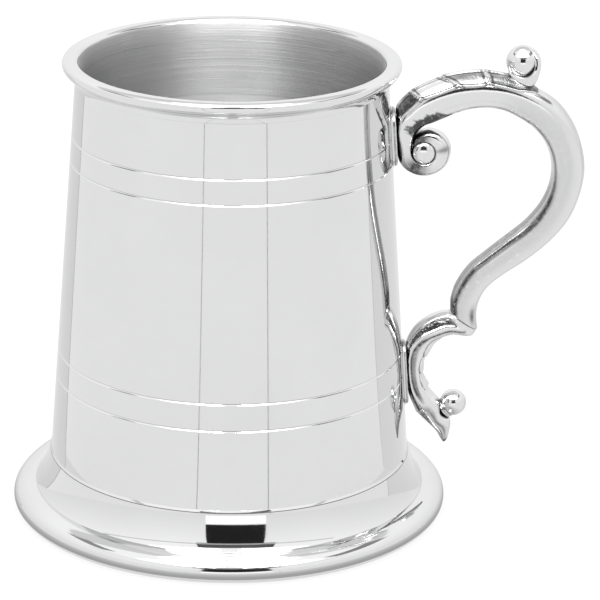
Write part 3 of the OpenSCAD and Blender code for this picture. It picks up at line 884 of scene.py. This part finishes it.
def bands(name, loops, mats, cap=True, tarnish_and_painted_light=None):
    """A closed piece from loops of equal length; the first and last are capped, or joined.
    The last list gives one darkening value for each loop."""
    n = len(loops[0])
    m = len(loops)
    faces = [((i % m) * n + k, (i % m) * n + (k + 1) % n, ((i + 1) % m) * n + (k + 1) % n,
              ((i + 1) % m) * n + k) for i in range(m - 1 if cap else m) for k in range(n)]
    verts = np.vstack(loops)
    if cap:
        verts = np.vstack([verts, loops[0].mean(0), loops[-1].mean(0)])
        faces += [(m * n, (k + 1) % n, k) for k in range(n)]
        faces += [(m * n + 1, (m - 1) * n + k, (m - 1) * n + (k + 1) % n) for k in range(n)]
    if tarnish_and_painted_light is not None:
        tarnish_and_painted_light = np.append(np.repeat(tarnish_and_painted_light, n), [tarnish_and_painted_light[0], tarnish_and_painted_light[-1]])
    return piece(name, verts, faces, mats, tarnish_and_painted_light=tarnish_and_painted_light)


def pads():
    for key, (z0, half_w, half_h, reach) in PADS.items():
        outline = stadium(half_w, half_h)
        loops = [on_skin(z0, outline * s, -0.02) for s in (0.3, 0.65, 0.9, 1.0)]
        loops += [on_wall(z0, outline, reach - 0.40), on_wall(z0, outline * 0.995, reach - 0.22)]
        loops += [on_wall(z0, stadium(half_w - d, half_h - d), reach - b)
                  for d, b in ((0.12, 0.08), (0.28, 0.0), (0.55, 0.02), (0.8, 0.16), (1.0, 0.2))]
        loops += [on_wall(z0, stadium(half_w - d, half_h - d), reach - 0.18) for d in (1.6, 2.4, 3.2)]
        bands(f"look_{key}_pad", loops, RELIEF,
              tarnish_and_painted_light=[0.8, 0.8, 0.8, 0.8, 0.6, 0.2, 0.0, 0.0, 0.3, 0.8, 0.85, 0.85, 0.85, 0.85])
        wobble = 1 + 0.05 * np.sin(np.arange(PAD_POINTS) * 0.7 + z0)[:, None]
        wide = stadium(half_w + 0.7, half_h + 0.7)
        near = stadium(half_w + 0.22, half_h + 0.22)
        fillet = [on_skin(z0, outline, -0.02), on_skin(z0, outline + (wide - outline) * wobble, 0.0),
                  on_skin(z0, near, 0.13), on_wall(z0, outline, PROUD)]
        bands(f"look_{key}_pad_solder", fillet, SOLDER, cap=False)


# ---------------------------------------------------------------- studio

def card(name, verts, level, faces=None):
    """A glowing or dark card of the studio, in millimetres. Only reflections see it."""
    mesh = bpy.data.meshes.new(name)
    mesh.from_pydata([tuple(c * MM for c in v) for v in verts], [], faces or [tuple(range(len(verts)))])
    mesh.materials.append(glow(name, level))
    obj = bpy.data.objects.new(name, mesh)
    bpy.context.scene.collection.objects.link(obj)
    obj.visible_camera = False
    obj.visible_diffuse = False
    obj.visible_shadow = False
    return obj


def ray(az, r, z):
    """Point at azimuth az degrees (0 towards the camera, growing to the right), radius r, height z."""
    t = math.radians(az)
    return (r * math.sin(t), -r * math.cos(t), z)


SEAM_Z = 0.8
RING_Z = 0.3
RING_POINTS = 96


def strip(name, start, end, w0, w1, level):
    """A narrow seam on the floor from start to end, w0 wide at the start and w1 at the end."""
    d = Vector((end[0] - start[0], end[1] - start[1])).normalized()
    across = Vector((-d.y, d.x)) / 2
    verts = [(p[0] + k * w * across.x, p[1] + k * w * across.y, SEAM_Z)
             for p, w, k in ((start, w0, -1), (end, w1, -1), (end, w1, 1), (start, w0, 1))]
    return card(name, verts, level)


def ring(name, r0, r1, level):
    """A ring on the floor round the foot."""
    n = RING_POINTS
    azs = np.linspace(0, 360, n, endpoint=False)
    verts = [ray(a, r0, RING_Z) for a in azs] + [ray(a, r1, RING_Z) for a in azs]
    faces = [(i, (i + 1) % n, n + (i + 1) % n, n + i) for i in range(n)]
    return card(name, verts, level, faces)


def wall_card(name, az0, az1, el0, el1, r, level):
    """A curved upright card, from elevation el0 to el1 as seen from the middle of the tankard."""
    steps = max(2, int(abs(az1 - az0) / 4) + 2)
    azs = np.linspace(az0, az1, steps)
    z0, z1 = (60.0 + r * math.tan(math.radians(e)) for e in (el0, el1))
    verts = [ray(a, r, z0) for a in azs] + [ray(a, r, z1) for a in azs]
    faces = [(i, i + 1, steps + i + 1, steps + i) for i in range(steps - 1)]
    return card(name, verts, level, faces)


# Rings round the foot: inner and outer radius in millimetres, and brightness
FLOOR_SHADE = [(56.2, 59.0, 0.5), (59.0, 63.0, 0.62), (63.0, 68.0, 0.74), (68.0, 75.0, 0.84),
               (75.0, 85.0, 0.92)]
# Tall cards above the tent's opening: first and last azimuth, and brightness. The tankard's satin
# inside spreads them into a bright middle and darker ends
FRONT_LIGHTS = [(-58, -42, 2.6), (-42, -29, 5.0), (-29, -7, 13.0), (9, 31, 13.0), (31, 44, 5.0),
                (44, 60, 2.6)]
FRONT_LIGHT_EL = (42.0, 80.0)
OVERHEAD_R, OVERHEAD_Z, OVERHEAD_FORWARD = 350.0, 1000.0, 60.0
OVERHEAD_POINTS = 48
FLOOR_HALF = 4.0  # metres
TENT_R = 700.0


def studio():
    world = bpy.data.worlds.new("studio_air")
    bpy.context.scene.world = world
    world.use_nodes = True
    back = world.node_tree.nodes["Background"]
    back.inputs["Color"].default_value = (1.0, 1.0, 1.0, 1.0)
    tree = world.node_tree
    split = node(tree, "ShaderNodeSeparateXYZ")
    tree.links.new(node(tree, "ShaderNodeTexCoord").outputs["Generated"], split.inputs["Vector"])
    tree.links.new(remap(tree, split.outputs["Z"], 0.0, 0.75, 1.0, 1.28), back.inputs["Strength"])
    bpy.context.scene.view_settings.view_transform = "Standard"
    bpy.context.scene.cycles.glossy_bounces = 12

    # Pale floor, which glows so that it stays nearly white
    mat, tree, out = new_material("studio_floor")
    shader = node(tree, "ShaderNodeBsdfPrincipled")
    shader.inputs["Base Color"].default_value = (0.2, 0.2, 0.2, 1.0)
    shader.inputs["Roughness"].default_value = 0.9
    shader.inputs["Specular IOR Level"].default_value = 0.0
    shader.inputs["Emission Color"].default_value = (1.0, 1.0, 1.0, 1.0)
    shader.inputs["Emission Strength"].default_value = 0.81
    tree.links.new(shader.outputs["BSDF"], out.inputs["Surface"])
    half = FLOOR_HALF
    mesh = bpy.data.meshes.new("studio_floor")
    mesh.from_pydata([(-half, -half, 0), (half, -half, 0), (half, half, 0), (-half, half, 0)], [],
                     [(0, 1, 2, 3)])
    mesh.materials.append(mat)
    ground = bpy.data.objects.new("studio_floor", mesh)
    bpy.context.scene.collection.objects.link(ground)

    # Seams and panels of the tent, and cards that stand round it. The camera sees none of them:
    # they show only in the metal, and their places are set for the photo's view
    strip("seam_left", (-20.0, -77.0), (-430.0, -1250.0), 0.5, 11.0, 0.45)
    strip("seam_right", (24.0, -77.0), (572.0, -1250.0), 0.5, 11.0, 0.35)
    strip("seam_far_left", (-75.0, 8.0), (-1000.0, 995.0), 0.6, 26.0, 0.55)
    strip("seam_far_right", (86.0, 0.0), (1300.0, 472.0), 0.6, 26.0, 0.75)
    card("panel_left", [(-75, 8, 0.4), (-1000, 995, 0.4), (0, 1600, 0.4), (0, 72, 0.4)], 0.85)
    card("panel_right", [(86, 0, 0.4), (0, 72, 0.4), (0, 1600, 0.4), (1300, 472, 0.4)], 0.90)
    for i, (r0, r1, level) in enumerate(FLOOR_SHADE):
        ring(f"floor_shade_{i}", r0, r1, level)
    wall_card("dark_left", -118.0, -80.0, 39.0, 49.0, 650.0, 0.35)
    wall_card("dark_right", 66.0, 112.0, 38.0, 50.0, 650.0, 0.32)
    wall_card("gap", -84.0, 68.0, 31.0, 32.6, 705.0, 0.72)
    wall_card("dark_back", 112.0, 248.0, 42.0, 76.0, 650.0, 0.85)
    disc = [(OVERHEAD_R * math.cos(t), OVERHEAD_R * math.sin(t) - OVERHEAD_FORWARD, OVERHEAD_Z)
            for t in np.linspace(0.0, 2 * math.pi, OVERHEAD_POINTS, endpoint=False)]
    card("overhead", disc, 2.3)
    for i, (az0, az1, level) in enumerate(FRONT_LIGHTS):
        wall_card(f"front_light_{i}", az0, az1, *FRONT_LIGHT_EL, TENT_R, level)
    wall_card("opening", -13.5, 21.5, 6.0, 30.0, TENT_R, 0.02)
    wall_card("opening_top", -20.0, 29.0, 30.0, 40.0, 710.0, 0.12)
    wall_card("opening_sill", -13.5, 21.5, -3.0, 5.0, 690.0, 1.5)

    top = bpy.data.lights.new("softbox", "AREA")
    top.shape = "RECTANGLE"
    top.size, top.size_y = 0.3, 0.2
    top.energy = 0.2
    lamp = bpy.data.objects.new("softbox", top)
    lamp.location = (0.0, -0.35, 1.1)
    lamp.rotation_euler = (Vector((0, 0, 0.06)) - lamp.location).to_track_quat("-Z", "Y").to_euler()
    bpy.context.scene.collection.objects.link(lamp)


make_camera()
barrel()
lip()
floor()
foot()
handle_arm()
volute_eye()
leaf()
thumb()
lower_scroll()
pads()
studio()
